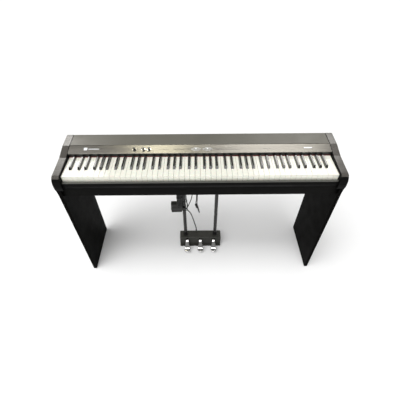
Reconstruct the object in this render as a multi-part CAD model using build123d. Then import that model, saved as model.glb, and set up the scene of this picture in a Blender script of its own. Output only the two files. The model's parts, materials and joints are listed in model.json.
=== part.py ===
from build123d import *
import math
import os

# Digital piano on a panel stand with a three-pedal unit.
# Millimetres, +X to the player's right, +Y away from the player, +Z up.
# Origin: on the floor under the centre of the whole piano and stand.

# Overall
WIDTH = 1300.0
DEPTH = 320.0
HALF_WIDTH = WIDTH / 2
FRONT_Y = -DEPTH / 2
REAR_Y = DEPTH / 2

# Keyboard case
CASE_BOTTOM_Z = 648.0
CASE_REAR_Y = 143.0
CASE_HALF_WIDTH = 614.3
END_WALL_X = (614.6, 617.2)
CHEEK_INNER_X = 617.4
CASE_SPLIT_Z = 711.0
SEAM = 0.3
END_WALL_DROP = 0.8
END_FRONT_Y = -156.0
END_TOP = [
    (CASE_REAR_Y, 742.0), (141.0, 746.4), (136.0, 748.0), (54.0, 743.4), (-18.0, 727.0),
    (-93.0, 722.0), (-133.0, 720.0), (-144.5, 717.4), (END_FRONT_Y, 699.0),
]
WALL = 4.0
SHELL = 3.0
CREASE_Y = 54.0
CREASE_Z = 743.0
GROOVE_REAR_Y = 58.4
GROOVE_FLOOR_Z = 739.6
LIP_Y = 5.0
LIP_Z = 732.05
LIP_BOTTOM_Z = 729.6
PANEL_THICKNESS = 2.0
FALL_WALL_Y = (6.0, 9.0)
FALL_WALL_Z = (714.0, 729.2)
FELT_FRONT_Y = 4.2
PANEL_SLOPE = (CREASE_Z - LIP_Z) / (CREASE_Y - LIP_Y)
CONTROL_ROW_Y = 28.0

# Keys
WHITE_PITCH = 23.6
WHITE_COUNT = 52
KEY_GAP = 1.0
KEY_FRONT_Y = -133.0
KEY_TOP_Z = 711.0
KEY_TOP_THICKNESS = 12.0
KEY_APRON_Z = 680.0
KEY_HEAD_LENGTH = 46.0
KEY_BLOCK_REAR_Y = 17.0
KEY_PIVOT_Y = 99.0
KEY_PIVOT_Z = 697.0
KEY_PIVOT_RADIUS = 5.0
STEM_WIDTH = 7.0
STEM_BOTTOM_Z = 693.0
STEM_TOP_Z = 704.5
BLACK_WIDTH = 10.5
BLACK_TOP_WIDTH = 8.6
BLACK_TOP_Z = 723.0
BLACK_REAR_Y = 2.0
BLACK_SIDE_CLEARANCE = 1.0
KEYBOARD_LEFT_X = -WHITE_PITCH * WHITE_COUNT / 2

# Stand
PANEL_BOARD = 18.0
LEG_FRONT_Y = -151.0
LEG_INNER_X = HALF_WIDTH - PANEL_BOARD
GLIDE_HEIGHT = 2.5
FRONT_BEAM_Y = -135.0
FRONT_BEAM_HEIGHT = 51.0
BRACKET_Y = (-60.0, 90.0)
BRACKET_SCREW_X = 603.0
BRACKET_SCREW_Z = 628.0
REAR_BEAM_Y = 147.0
REAR_BEAM_HEIGHT = 100.0

# Pedal unit
HOUSING_HALF_WIDTH = 128.0
HOUSING_FRONT_Y = 18.0
HOUSING_REAR_Y = 75.0
HOUSING_TOP_Z = 80.0
BASE_BOTTOM_Z = 3.0
BASE_TOP_Z = 12.0
PEDAL_SPACING = 82.0
PEDAL_WIDTH = 17.0
PEDAL_TOE_WIDTH = 33.0
PEDAL_SLOT_WIDTH = 22.0
PEDAL_TIP_Y = -53.0
PEDAL_PIVOT_Y = 62.0
PEDAL_PIVOT_Z = 36.0
SHAFT_RADIUS = 4.0
ROD_RADIUS = 10.0
ROD_X = 92.0
ROD_Y = 49.0
ROD_BOTTOM_Z = 66.0
ADAPTER_X = (-165.0, -104.5)
ADAPTER_Y = (33.0, 61.0)
ADAPTER_Z = (299.0, 362.0)
ADAPTER_INLET_X = -140.0

# Cables: diameters, and the points of their routes
PEDAL_CABLE_DIAMETER = 6.0
PEDAL_CABLE_ROUTE = [
    (-25, 67, 90), (-25, 67, 112), (-30, 65.5, 142), (-37, 63, 176), (-44, 59, 214),
    (-51, 56, 248), (-60, 53, 276), (-70.5, 51, 291), (-77.5, 50, 305), (-75, 49.4, 322),
    (-72.6, 49.2, 338), (-74.8, 49.6, 356), (-78.2, 50, 376), (-78.7, 50.4, 412),
    (-78.3, 49.6, 470), (-78.7, 50, 524), (-76.6, 53, 553), (-62, 69, 575), (-45, 85, 591),
    (-45, 85, 612),
]
TIE_PLACES = [(-77.5, 305.0), (-78.2, 376.0), (-78.7, 524.0)]
LEAD_DIAMETER = 4.6
LEAD_LOWER_ROUTE = [
    (-115, 47, 372), (-115, 47, 397), (-115.6, 46.6, 436), (-114.6, 47.2, 478),
    (-115.2, 47.2, 511), (-115, 47, 539), (-115, 20.5, 539), (-115, 20.5, 513),
]
LEAD_UPPER_ROUTE = [
    (-104, 15, 355), (-104, 15, 340), (-97, 17, 326), (-84, 22, 327), (-73, 25, 344),
    (-62, 27, 371), (-50, 31, 400), (-42, 36, 440), (-37, 42, 484), (-34, 47, 530),
    (-32, 50, 572), (-31, 52, 606), (-31, 53, 636), (-27, 27, 636), (-23, 27.6, 606),
    (-21.5, 28.2, 566), (-20.5, 27.6, 520), (-19.5, 28.4, 470), (-19.5, 27.8, 430),
    (-21, 28, 399), (-25.5, 28.4, 371), (-15.5, 29, 337), (-8.5, 30, 308), (-5, 37, 288),
    (-5, 48, 280), (-7.5, 60, 286), (-12, 66, 306), (-19, 67, 334), (-16, 68, 366), (-14.5, 70, 408),
    (-13.5, 73, 455), (-12.5, 77, 505), (-11, 81, 548), (-10, 85, 587), (-10, 85, 617),
]
HANK_CENTRE = (-113.5, 15.0)
HANK_RADIUS = 16.0
HANK_BOTTOM_Z = 355.0
HANK_TOP_Z = 513.0

# Jacks under the case: centre x of each socket, its bore radius, and their common y
JACK_Y = 85.0
PEDAL_JACK_X = -45.0
POWER_JACK_X = -10.0
PHONES_JACK_X = 28.0
JACK_FACE_Z = 646.0
JACK_TOP_Z = 672.0
JACK_BORE_RADIUS = {PEDAL_JACK_X: 3.25, POWER_JACK_X: 2.9, PHONES_JACK_X: 3.25}

# Controls on the panel
KNOB_X = {"left_knob": -306.0, "middle_knob": -265.0, "right_knob": -239.0}
KNOB_RADIUS = 6.2
KNOB_HEIGHT = 10.0
KNOB_SHAFT_RADIUS = 3.0
PAD_X = {"left_rocker_pad": -19.0, "right_rocker_pad": 35.0}
PAD_LENGTH = 40.0
PAD_WIDTH = 17.0
BUTTON_PLACES = [(123.0, 40.0), (146.0, 40.0), (302.0, 28.0), (313.0, 28.0), (329.0, 28.0)]
BUTTON_RADIUS = 2.4
CONTROL_WINDOWS = [(-318, -227, 19, 37), (-44, 60, 15, 41), (116, 153, 35, 45), (296, 335, 23, 33)]
BADGE_PLACE = (-536, 33)
BADGE_BAR_PLACE = (-498, 32)
STRIP_PLACE = (507, 31)


# ---------------------------------------------------------------- helpers

def block(x_range, y_range, z_range):
    """A box between two corners, one range for each axis."""
    spans = [high - low for low, high in (x_range, y_range, z_range)]
    middles = [(high + low) / 2 for low, high in (x_range, y_range, z_range)]
    return Pos(*middles) * Box(*spans)


def along_x(outline, x_range):
    """Extrude a closed (y, z) outline along X."""
    face = make_face(Plane.YZ * Polyline(*outline, close=True))
    return Pos(x_range[0], 0, 0) * extrude(face, amount=x_range[1] - x_range[0], dir=(1, 0, 0))


def upright(x, y, radius, z_range):
    """A vertical cylinder."""
    height = z_range[1] - z_range[0]
    return Pos(x, y, z_range[0] + height / 2) * Cylinder(radius, height)


def crosswise(x_range, y, z, radius):
    """A cylinder along X."""
    length = x_range[1] - x_range[0]
    return Pos(x_range[0] + length / 2, y, z) * Rot(0, 90, 0) * Cylinder(radius, length)


def panel_height(y):
    """Height of the control panel's upper face at y."""
    return LIP_Z + PANEL_SLOPE * (y - LIP_Y)


def on_panel(x, y):
    """A frame on the control panel's upper face, its Z square to the panel."""
    tilt = Vector(0, 1, 0).get_angle(Vector(0, 1, PANEL_SLOPE))
    return Pos(x, y, panel_height(y)) * Rot(tilt, 0, 0)


def lens(length, width, height):
    """A pointed oval prism, standing on the XY plane."""
    half = length / 2
    upper = ThreePointArc((-half, 0), (0, width / 2), (half, 0))
    lower = ThreePointArc((half, 0), (0, -width / 2), (-half, 0))
    return extrude(make_face(upper + lower), amount=height, dir=(0, 0, 1))


def group(solids):
    """Several separate solids that share one node."""
    return Compound(children=list(solids))


# ---------------------------------------------------------------- keys

def white_note(index):
    """Letter of a white key, counted from the lowest A."""
    return "ABCDEFG"[index % 7]


def black_after(index):
    """Centre x of the black key to the right of a white key, or None."""
    shift = {"A": 4.4, "C": -3.4, "D": 3.4, "F": -4.4, "G": 0.0}.get(white_note(index))
    if shift is None or index == WHITE_COUNT - 1:
        return None
    return KEYBOARD_LEFT_X + (index + 1) * WHITE_PITCH + shift


def key_stem(centre_x):
    """The bar from a key's block back to its round pivot end."""
    x_range = (centre_x - STEM_WIDTH / 2, centre_x + STEM_WIDTH / 2)
    bar = block(x_range, (KEY_BLOCK_REAR_Y - 6, KEY_PIVOT_Y), (STEM_BOTTOM_Z, STEM_TOP_Z - 4.0))
    web = block(x_range, (KEY_BLOCK_REAR_Y - 6, KEY_PIVOT_Y - 22), (STEM_BOTTOM_Z, STEM_TOP_Z))
    return bar + web + crosswise(x_range, KEY_PIVOT_Y, KEY_PIVOT_Z, KEY_PIVOT_RADIUS)


def white_key(index):
    """One white key: a head with a deep front apron, and a block notched for its neighbours."""
    left = KEYBOARD_LEFT_X + index * WHITE_PITCH + KEY_GAP / 2
    right = left + WHITE_PITCH - KEY_GAP
    underside = KEY_TOP_Z - KEY_TOP_THICKNESS
    side = [
        (KEY_FRONT_Y, KEY_TOP_Z), (KEY_BLOCK_REAR_Y, KEY_TOP_Z), (KEY_BLOCK_REAR_Y, underside),
        (KEY_FRONT_Y + 4.5, underside), (KEY_FRONT_Y + 3.5, KEY_APRON_Z),
        (KEY_FRONT_Y + 1.0, KEY_APRON_Z), (KEY_FRONT_Y + 1.0, KEY_TOP_Z - 2.6),
        (KEY_FRONT_Y, KEY_TOP_Z - 2.2),
    ]
    key = along_x(side, (left, right))
    notch = BLACK_WIDTH / 2 + BLACK_SIDE_CLEARANCE
    head_rear = KEY_FRONT_Y + KEY_HEAD_LENGTH
    notch_y = (head_rear, KEY_BLOCK_REAR_Y + 1)
    notch_z = (underside - 1, KEY_TOP_Z + 1)
    before = black_after(index - 1) if index else None
    after = black_after(index)
    if before is not None:
        key -= block((left - 1, before + notch), notch_y, notch_z)
        left = before + notch
    if after is not None:
        key -= block((after - notch, right + 1), notch_y, notch_z)
        right = after - notch
    top_edges = key.edges().filter_by(lambda edge: edge.center().Z > KEY_TOP_Z - 0.01)
    key = chamfer(top_edges, 0.4)
    return key + key_stem((left + right) / 2)


def black_key(centre_x):
    """One black key: a tapered cap with a sloped front, over a straight body."""
    front = KEY_FRONT_Y + KEY_HEAD_LENGTH + 1.0
    base_z = KEY_TOP_Z - 1.0
    length = BLACK_REAR_Y - front
    base = Pos(centre_x, front + length / 2, base_z) * Rectangle(BLACK_WIDTH, length)
    top_length = length - 6.5
    top = Pos(centre_x, BLACK_REAR_Y - 0.5 - top_length / 2, BLACK_TOP_Z)
    cap = loft([base, top * Rectangle(BLACK_TOP_WIDTH, top_length)])
    rim = cap.faces().sort_by(Axis.Z)[-1].edges()
    cap = fillet(rim, 1.1)
    half = BLACK_WIDTH / 2
    body = block((centre_x - half, centre_x + half), (front, BLACK_REAR_Y), (699.0, base_z))
    tail = block((centre_x - half, centre_x + half), (BLACK_REAR_Y, KEY_BLOCK_REAR_Y), (699.0, 705.0))
    return cap + body + tail + key_stem(centre_x)


def keys():
    """All 88 keys: the middle octave one by one, the rest in low and high groups."""
    middle_c = 23
    nodes = {"low_white_keys": [], "low_black_keys": [], "high_white_keys": [], "high_black_keys": []}
    singles = {}
    for index in range(WHITE_COUNT):
        register = "low" if index < middle_c else "high"
        black_x = black_after(index)
        black = black_key(black_x) if black_x is not None else None
        white = white_key(index)
        if middle_c <= index < middle_c + 7:
            letter = white_note(index).lower()
            singles["key_" + letter + "4"] = white
            if black is not None:
                singles["key_" + letter + "_sharp4"] = black
        else:
            nodes[register + "_white_keys"].append(white)
            if black is not None:
                nodes[register + "_black_keys"].append(black)
    grouped = {name: group(solids) for name, solids in nodes.items()}
    return grouped | singles


# ---------------------------------------------------------------- keyboard case

def speaker_places():
    """Centre of each speaker."""
    return [(-480.0, 50.0), (480.0, 50.0)]


def end_slab(x_low, x_high):
    """A slab with the side outline of the case, between two planes on the right."""
    profile = Polyline((CASE_REAR_Y, CASE_BOTTOM_Z), *END_TOP)
    profile += ThreePointArc((END_FRONT_Y, 699.0), (FRONT_Y, 673.0), (END_FRONT_Y, CASE_BOTTOM_Z))
    profile += Line((END_FRONT_Y, CASE_BOTTOM_Z), (CASE_REAR_Y, CASE_BOTTOM_Z))
    face = make_face(Plane.YZ * profile)
    return Pos(x_low, 0, 0) * extrude(face, amount=x_high - x_low, dir=(1, 0, 0))


def end_block():
    """Right end of the lower case: a hollow block, and a wall up beside the keys."""
    slab = end_slab(END_WALL_X[0], HALF_WIDTH)
    below = block((0, WIDTH), (-DEPTH, DEPTH), (0, CASE_SPLIT_Z - SEAM))
    wall = end_slab(*END_WALL_X)
    body = (slab & below) + (wall & Pos(0, 0, -END_WALL_DROP) * wall)
    pocket_x = (CHEEK_INNER_X + WALL, HALF_WIDTH - WALL)
    body -= block(pocket_x, (-146, 135), (CASE_BOTTOM_Z - 1, 705))
    groove = block((END_WALL_X[1], WIDTH), (FRONT_Y - 1, FRONT_Y + 1.2), (675.4, 676.6))
    return body - groove


def lower_case():
    """Bottom tray and end blocks, with speaker slots and holes for jacks and screws."""
    outline = [
        (-139, CASE_BOTTOM_Z), (-147, 666), (-145, 680), (-141, 680), (-143, 667),
        (-136, CASE_BOTTOM_Z + WALL), (CASE_REAR_Y - WALL, CASE_BOTTOM_Z + WALL),
        (CASE_REAR_Y - WALL, CASE_SPLIT_Z), (CASE_REAR_Y, CASE_SPLIT_Z),
        (CASE_REAR_Y, CASE_BOTTOM_Z),
    ]
    tray = along_x(outline, (-END_WALL_X[0], END_WALL_X[0]))
    floor_z = (CASE_BOTTOM_Z - 1, CASE_BOTTOM_Z + WALL + 1)
    for x, y in speaker_places():
        for row in range(-3, 4):
            slot_y = y + row * 7.0
            tray -= block((x - 22, x + 22), (slot_y - 1.5, slot_y + 1.5), floor_z)
    for x in JACK_BORE_RADIUS:
        tray -= upright(x, JACK_Y, 7.0, floor_z)
    for side, y in bracket_places():
        tray -= upright(side * BRACKET_SCREW_X, y, 2.6, floor_z)
    right_end = end_block()
    return tray + right_end + mirror(right_end, Plane.YZ)


def upper_case():
    """Rear cover: a groove behind the panel, a sunk shelf under it, and a wall down to the keys."""
    drop = PANEL_THICKNESS + 0.06
    shelf_front_y = LIP_Y + 2.2
    wall_front, wall_rear = FALL_WALL_Y
    wall_bottom, wall_top = FALL_WALL_Z
    outline = [
        (CASE_REAR_Y, CASE_SPLIT_Z), (CASE_REAR_Y, 742.0), (141.0, 746.0), (137.0, 747.7),
        (GROOVE_REAR_Y + 1.1, 743.25), (GROOVE_REAR_Y, 742.6), (GROOVE_REAR_Y, GROOVE_FLOOR_Z),
        (CREASE_Y, GROOVE_FLOOR_Z), (CREASE_Y, CREASE_Z - drop),
        (shelf_front_y, panel_height(shelf_front_y) - drop), (shelf_front_y, wall_top),
        (wall_front, wall_top), (wall_front, wall_bottom), (wall_rear, wall_bottom),
        (wall_rear, 727.8), (58.5, 738.0), (60.5, 740.0), (135.0, 744.4), (139.5, 741.0),
        (CASE_REAR_Y - SHELL, CASE_SPLIT_Z),
    ]
    cover = along_x(outline, (-CASE_HALF_WIDTH, CASE_HALF_WIDTH))
    for x_low, x_high, y_low, y_high in CONTROL_WINDOWS:
        cover -= block((x_low, x_high), (y_low, y_high), (720, 745))
    return cover


def control_panel():
    """Thin sloped panel with a turned-down front lip and holes for every control."""
    under = PANEL_THICKNESS
    outline = [
        (LIP_Y, LIP_Z), (CREASE_Y, CREASE_Z), (CREASE_Y, CREASE_Z - under),
        (LIP_Y + 2, panel_height(LIP_Y + 2) - under), (LIP_Y + 2, LIP_BOTTOM_Z), (LIP_Y, LIP_BOTTOM_Z),
    ]
    panel = along_x(outline, (-CASE_HALF_WIDTH, CASE_HALF_WIDTH))
    rounded = panel.edges().filter_by(lambda edge: abs(edge.center().Y - LIP_Y) < 0.01)
    panel = fillet(rounded.filter_by(lambda edge: edge.center().Z > LIP_Z - 0.01), 0.9)
    for x in KNOB_X.values():
        panel -= on_panel(x, CONTROL_ROW_Y) * Cylinder(KNOB_SHAFT_RADIUS + 0.3, 12)
    for x in PAD_X.values():
        panel -= on_panel(x, CONTROL_ROW_Y) * Pos(0, 0, -6) * lens(PAD_LENGTH + 1.6, PAD_WIDTH + 1.2, 12)
    for x, y in BUTTON_PLACES:
        panel -= on_panel(x, y) * Cylinder(BUTTON_RADIUS + 0.3, 12)
    return panel


def cheek(side):
    """Cap over an end block of the case, side -1 on the left and 1 on the right."""
    above = block((0, WIDTH), (-DEPTH, DEPTH), (CASE_SPLIT_Z, 2 * CASE_SPLIT_Z))
    body = end_slab(CHEEK_INNER_X, HALF_WIDTH) & above
    outer = body.faces().sort_by(Axis.X)[-1]
    upper_edges = outer.edges().filter_by(lambda edge: edge.center().Z > CASE_SPLIT_Z + 1)
    body = chamfer(upper_edges, 1.6)
    return body if side > 0 else mirror(body, Plane.YZ)


def key_slip():
    """Strip along the front of the keys."""
    outline = [
        (-145, 680.1), (-145, 684.2), (-143.6, 686), (-138.4, 686), (-137.4, 685), (-137.4, 680.1),
    ]
    return along_x(outline, (-CASE_HALF_WIDTH, CASE_HALF_WIDTH))


def key_felt():
    """Felt strip under the wall behind the keys."""
    half = CASE_HALF_WIDTH - 2
    bottom = FALL_WALL_Z[0]
    return block((-half, half), (FELT_FRONT_Y, FALL_WALL_Y[1]), (bottom - 2.0, bottom))


def key_chassis():
    """Key frame: front rail, two board ribs, and a rear rail grooved for the key pivots."""
    base_z = CASE_BOTTOM_Z + WALL
    half = CASE_HALF_WIDTH - 1.6
    floor_top = base_z + 3
    frame = block((-half, half), (-123, 117), (base_z, floor_top))
    frame += block((-half, half), (-120, -94), (floor_top, 686))
    for y in (-22, 12):
        frame += block((-half, half), (y - 3, y + 3), (floor_top, 680))
    rail = [
        (KEY_PIVOT_Y + 1.5, floor_top), (KEY_PIVOT_Y + 1.5, 707), (117, 707), (117, floor_top),
    ]
    frame += along_x(rail, (-half, half))
    frame += block((-half, half), (KEY_PIVOT_Y - 4, 117), (floor_top, KEY_PIVOT_Z - 7))
    frame -= crosswise((-half - 1, half + 1), KEY_PIVOT_Y, KEY_PIVOT_Z, KEY_PIVOT_RADIUS + 0.3)
    for x, y in speaker_places():
        frame -= block((x - 38, x + 38), (y - 34, y + 34), (base_z - 1, floor_top + 1))
    for x in JACK_BORE_RADIUS:
        frame -= upright(x, JACK_Y, 8.5, (base_z - 1, floor_top + 1))
    return frame


def contact_board():
    """Key contact board on the chassis ribs, with its rubber contact strip."""
    half = CASE_HALF_WIDTH - 6
    board = block((-half, half), (-25, 15), (680, 681.6))
    strip = block((-half + 4, half - 4), (-12, 0), (681.6, 691.5))
    return group([board, strip])


def main_board():
    """Main circuit board on four posts under the rear cover, with its chips."""
    x_range = (-430.0, -300.0)
    y_range = (64.0, 128.0)
    solids = [block(x_range, y_range, (722.0, 723.6))]
    for x in (x_range[0] + 6, x_range[1] - 6):
        for y in (y_range[0] + 6, y_range[1] - 6):
            post_top = 739.6 + (y - 59.0) * (744.4 - 739.9) / (135.0 - 59.0)
            solids.append(upright(x, y, 3.0, (723.6, post_top)))
    for x in (-405.0, -370.0, -335.0):
        solids.append(block((x - 9, x + 9), (88, 104), (723.6, 726.4)))
    return group(solids)


def speakers():
    """Two round speakers over the slots of the lower case."""
    solids = []
    for x, y in speaker_places():
        base = CASE_BOTTOM_Z + WALL
        rim = upright(x, y, 32.0, (base, base + 3))
        cone = Pos(x, y, base + 11) * Cone(27.0, 15.0, 16)
        magnet = upright(x, y, 17.0, (base + 19, base + 32))
        solids.append(rim + cone + magnet)
    return group(solids)


def jack_panel():
    """Plate with the pedal, power and headphone sockets, facing down at the rear."""
    plate = block((-62, 46), (70, 100), (JACK_FACE_Z, CASE_BOTTOM_Z))
    for x in JACK_BORE_RADIUS:
        plate += upright(x, JACK_Y, 6.5, (CASE_BOTTOM_Z, JACK_TOP_Z))
    for x, radius in JACK_BORE_RADIUS.items():
        plate -= upright(x, JACK_Y, radius, (JACK_FACE_Z - 1, JACK_TOP_Z + 1))
    return plate


# ---------------------------------------------------------------- controls

def name_plates():
    """Plain plates at the left of the panel, and a small one at the right."""
    badge = Pos(0, 0, 0.5) * Box(16, 16, 1.0)
    badge = on_panel(*BADGE_PLACE) * fillet(badge.edges().filter_by(Axis.Z), 3)
    bar = on_panel(*BADGE_BAR_PLACE) * Pos(0, 0, 0.4) * Box(50, 3.6, 0.8)
    strip = on_panel(*STRIP_PLACE) * Pos(0, 0, 0.4) * Box(38, 6, 0.8)
    return group([badge, bar, strip])


def knob_bezels():
    """A ring round each knob."""
    ring = Cylinder(8.2, 1.2) - Cylinder(KNOB_RADIUS + 0.5, 2.4)
    return group(on_panel(x, CONTROL_ROW_Y) * Pos(0, 0, 0.6) * ring for x in KNOB_X.values())


def knob(x):
    """Round cap with a pointer slot and a shaft through the panel."""
    cap = Pos(0, 0, 0.5 + KNOB_HEIGHT / 2) * Cylinder(KNOB_RADIUS, KNOB_HEIGHT)
    cap = fillet(cap.edges().sort_by(Axis.Z)[-1], 1.4)
    cap -= Pos(0, KNOB_RADIUS / 2 + 0.5, KNOB_HEIGHT + 0.5) * Box(1.0, KNOB_RADIUS, 1.2)
    shaft = Pos(0, 0, -3.5) * Cylinder(KNOB_SHAFT_RADIUS, 9)
    return on_panel(x, CONTROL_ROW_Y) * (cap + shaft)


def rocker_pad(x):
    """Pointed oval rocker with a round boss at its middle."""
    body = Pos(0, 0, -2.6) * lens(PAD_LENGTH, PAD_WIDTH, 4.4)
    body = chamfer(body.faces().sort_by(Axis.Z)[-1].edges(), 0.6)
    boss = Pos(0, 0, 2.1) * Cylinder(4.2, 1.0)
    stem = Pos(0, 0, -4.4) * Cylinder(3.0, 4.0)
    return on_panel(x, CONTROL_ROW_Y) * (body + boss + stem)


def tone_buttons():
    """Five small round buttons of one moulded strip."""
    cap = Pos(0, 0, -1.6) * Cylinder(BUTTON_RADIUS, 6.4)
    cap = fillet(cap.edges().sort_by(Axis.Z)[-1], 0.8)
    return group(on_panel(x, y) * cap for x, y in BUTTON_PLACES)


# ---------------------------------------------------------------- stand

def bracket_places():
    """Side and y of the four angle brackets under the case."""
    return [(side, y) for side in (-1, 1) for y in BRACKET_Y]


def bolt_places():
    """(y, z) of the bolts through each leg panel, two for each beam."""
    front_y = FRONT_BEAM_Y + PANEL_BOARD / 2
    rear_y = REAR_BEAM_Y - PANEL_BOARD / 2
    return [(front_y, 611.0), (front_y, 634.0), (rear_y, 568.0), (rear_y, 628.0)]


def leg_panel(side):
    """Side panel of the stand, side -1 on the left and 1 on the right."""
    profile = Line((LEG_FRONT_Y, GLIDE_HEIGHT), (LEG_FRONT_Y, 606.0))
    profile += ThreePointArc((LEG_FRONT_Y, 606.0), (-152.3, 627.0), (-155.6, CASE_BOTTOM_Z))
    profile += Polyline((-155.6, CASE_BOTTOM_Z), (REAR_Y, CASE_BOTTOM_Z), (REAR_Y, GLIDE_HEIGHT))
    profile += Line((REAR_Y, GLIDE_HEIGHT), (LEG_FRONT_Y, GLIDE_HEIGHT))
    face = make_face(Plane.YZ * profile)
    body = Pos(LEG_INNER_X, 0, 0) * extrude(face, amount=PANEL_BOARD, dir=(1, 0, 0))
    body = chamfer(body.faces().sort_by(Axis.X)[-1].edges(), 0.8)
    for y, z in bolt_places():
        body -= crosswise((LEG_INNER_X - 1, HALF_WIDTH + 1), y, z, 3.2)
        body -= crosswise((HALF_WIDTH - 5, HALF_WIDTH + 1), y, z, 6.2)
    for y in BRACKET_Y:
        body -= crosswise((LEG_INNER_X - 1, LEG_INNER_X + 12), y, BRACKET_SCREW_Z, 2.6)
    return body if side > 0 else mirror(body, Plane.YZ)


def beam(y_range, height):
    """Cross beam between the leg panels, with bolt holes in its ends."""
    body = block((-LEG_INNER_X, LEG_INNER_X), y_range, (CASE_BOTTOM_Z - height, CASE_BOTTOM_Z))
    for y, z in bolt_places():
        if y_range[0] < y < y_range[1]:
            body -= crosswise((LEG_INNER_X - 32, LEG_INNER_X + 1), y, z, 3.1)
            body -= crosswise((-LEG_INNER_X - 1, -LEG_INNER_X + 32), y, z, 3.1)
    return body


def corner_brackets():
    """Four angle brackets from the leg panels to the case."""
    solids = []
    for side, y in bracket_places():
        plate = block((592, LEG_INNER_X), (y - 15, y + 15), (646, CASE_BOTTOM_Z))
        upstand = block((LEG_INNER_X - 2, LEG_INNER_X), (y - 15, y + 15), (612, 646))
        angle = plate + upstand
        angle -= upright(BRACKET_SCREW_X, y, 2.7, (640, 650))
        angle -= crosswise((LEG_INNER_X - 4, LEG_INNER_X + 2), y, BRACKET_SCREW_Z, 2.7)
        solids.append(angle if side > 0 else mirror(angle, Plane.YZ))
    return group(solids)


def stand_bolts():
    """Socket bolts through the leg panels, and the screws of the brackets."""
    solids = []
    for y, z in bolt_places():
        head = crosswise((HALF_WIDTH - 4.8, HALF_WIDTH - 0.6), y, z, 5.6)
        shank = crosswise((LEG_INNER_X - 30, HALF_WIDTH - 4.8), y, z, 3.0)
        socket = Rot(0, 90, 0) * extrude(RegularPolygon(2.6, 6), amount=6, both=True)
        solids.append(head + shank - Pos(HALF_WIDTH, y, z) * socket)
    for y in BRACKET_Y:
        head = upright(BRACKET_SCREW_X, y, 4.4, (643, 646))
        solids.append(head + upright(BRACKET_SCREW_X, y, 2.5, (645, 651)))
        side_head = crosswise((LEG_INNER_X - 5, LEG_INNER_X - 2), y, BRACKET_SCREW_Z, 4.4)
        shank = crosswise((LEG_INNER_X - 3, LEG_INNER_X + 10), y, BRACKET_SCREW_Z, 2.5)
        solids.append(side_head + shank)
    mirrored = [mirror(solid, Plane.YZ) for solid in solids]
    return group(solids + mirrored)


def foot_glides():
    """Pads under the leg panels and under the pedal base."""
    solids = []
    for side in (-1, 1):
        middle = side * (HALF_WIDTH - PANEL_BOARD / 2)
        for y in (-130.0, 0.0, 139.0):
            solids.append(block((middle - 7, middle + 7), (y - 15, y + 15), (0, GLIDE_HEIGHT)))
        for y in (16.0, 69.0):
            solids.append(upright(side * 116.0, y, 6.0, (0, BASE_BOTTOM_Z)))
    return group(solids)


# ---------------------------------------------------------------- pedal unit

def pedal_rods():
    """Two steel rods from the pedal unit up to the case."""
    return group(upright(side * ROD_X, ROD_Y, ROD_RADIUS, (ROD_BOTTOM_Z, 645.0)) for side in (-1, 1))


def rod_collars():
    """Rings where the rods enter the pedal housing."""
    ring = Cylinder(15.0, 6.0) - Cylinder(ROD_RADIUS + 0.05, 8.0)
    ring = chamfer(ring.edges().group_by(Axis.Z)[-1].sort_by(SortBy.LENGTH)[-1], 1.2)
    return group(Pos(side * ROD_X, ROD_Y, HOUSING_TOP_Z + 3.0) * ring for side in (-1, 1))


def rod_flanges():
    """Sleeve flanges that hold the rods under the case."""
    solids = []
    for side in (-1, 1):
        x = side * ROD_X
        body = upright(x, ROD_Y, 18.0, (645, CASE_BOTTOM_Z))
        body += upright(x, ROD_Y, 13.0, (622, 645))
        solids.append(body - upright(x, ROD_Y, ROD_RADIUS + 0.05, (620, 645)))
    return group(solids)


def pedal_housing():
    """Cover of the pedal unit, open below, with a slot for each pedal and a cable boss."""
    x_range = (-HOUSING_HALF_WIDTH, HOUSING_HALF_WIDTH)
    y_range = (HOUSING_FRONT_Y, HOUSING_REAR_Y)
    cover = block(x_range, y_range, (BASE_TOP_Z, HOUSING_TOP_Z))
    cover = fillet(cover.edges().filter_by(Axis.Z), 4.0)
    cover = fillet(cover.faces().sort_by(Axis.Z)[-1].edges(), 2.0)
    inside_x = (x_range[0] + SHELL, x_range[1] - SHELL)
    inside_y = (y_range[0] + SHELL, y_range[1] - SHELL)
    cover -= block(inside_x, inside_y, (BASE_TOP_Z - 1, HOUSING_TOP_Z - SHELL))
    for step in (-1, 0, 1):
        x = step * PEDAL_SPACING
        slot_x = (x - PEDAL_SLOT_WIDTH / 2, x + PEDAL_SLOT_WIDTH / 2)
        cover -= block(slot_x, (HOUSING_FRONT_Y - 1, HOUSING_FRONT_Y + SHELL + 1), (BASE_TOP_Z - 1, 74))
    for side in (-1, 1):
        cover -= upright(side * ROD_X, ROD_Y, ROD_RADIUS + 0.2, (70, 90))
    start = PEDAL_CABLE_ROUTE[0]
    boss_height = start[2] - HOUSING_TOP_Z
    return cover + Pos(start[0], start[1], HOUSING_TOP_Z + boss_height / 2) * Cone(5.5, 3.2, boss_height)


def pedal_base():
    """Base plate with four ears that carry the pedal shaft."""
    x_range = (-HOUSING_HALF_WIDTH, HOUSING_HALF_WIDTH)
    plate = block(x_range, (HOUSING_FRONT_Y - 9, HOUSING_REAR_Y + 2), (BASE_BOTTOM_Z, BASE_TOP_Z))
    plate = fillet(plate.edges().filter_by(Axis.Z), 4.0)
    for x in (-112.0, -41.0, 41.0, 112.0):
        ear = block((x - 3, x + 3), (PEDAL_PIVOT_Y - 8, PEDAL_PIVOT_Y + 8), (BASE_TOP_Z - 1, 46))
        plate += fillet(ear.edges().filter_by(Axis.X).sort_by(Axis.Z)[-2:], 6.0)
    return plate - crosswise((-120, 120), PEDAL_PIVOT_Y, PEDAL_PIVOT_Z, SHAFT_RADIUS + 0.03)


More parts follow.
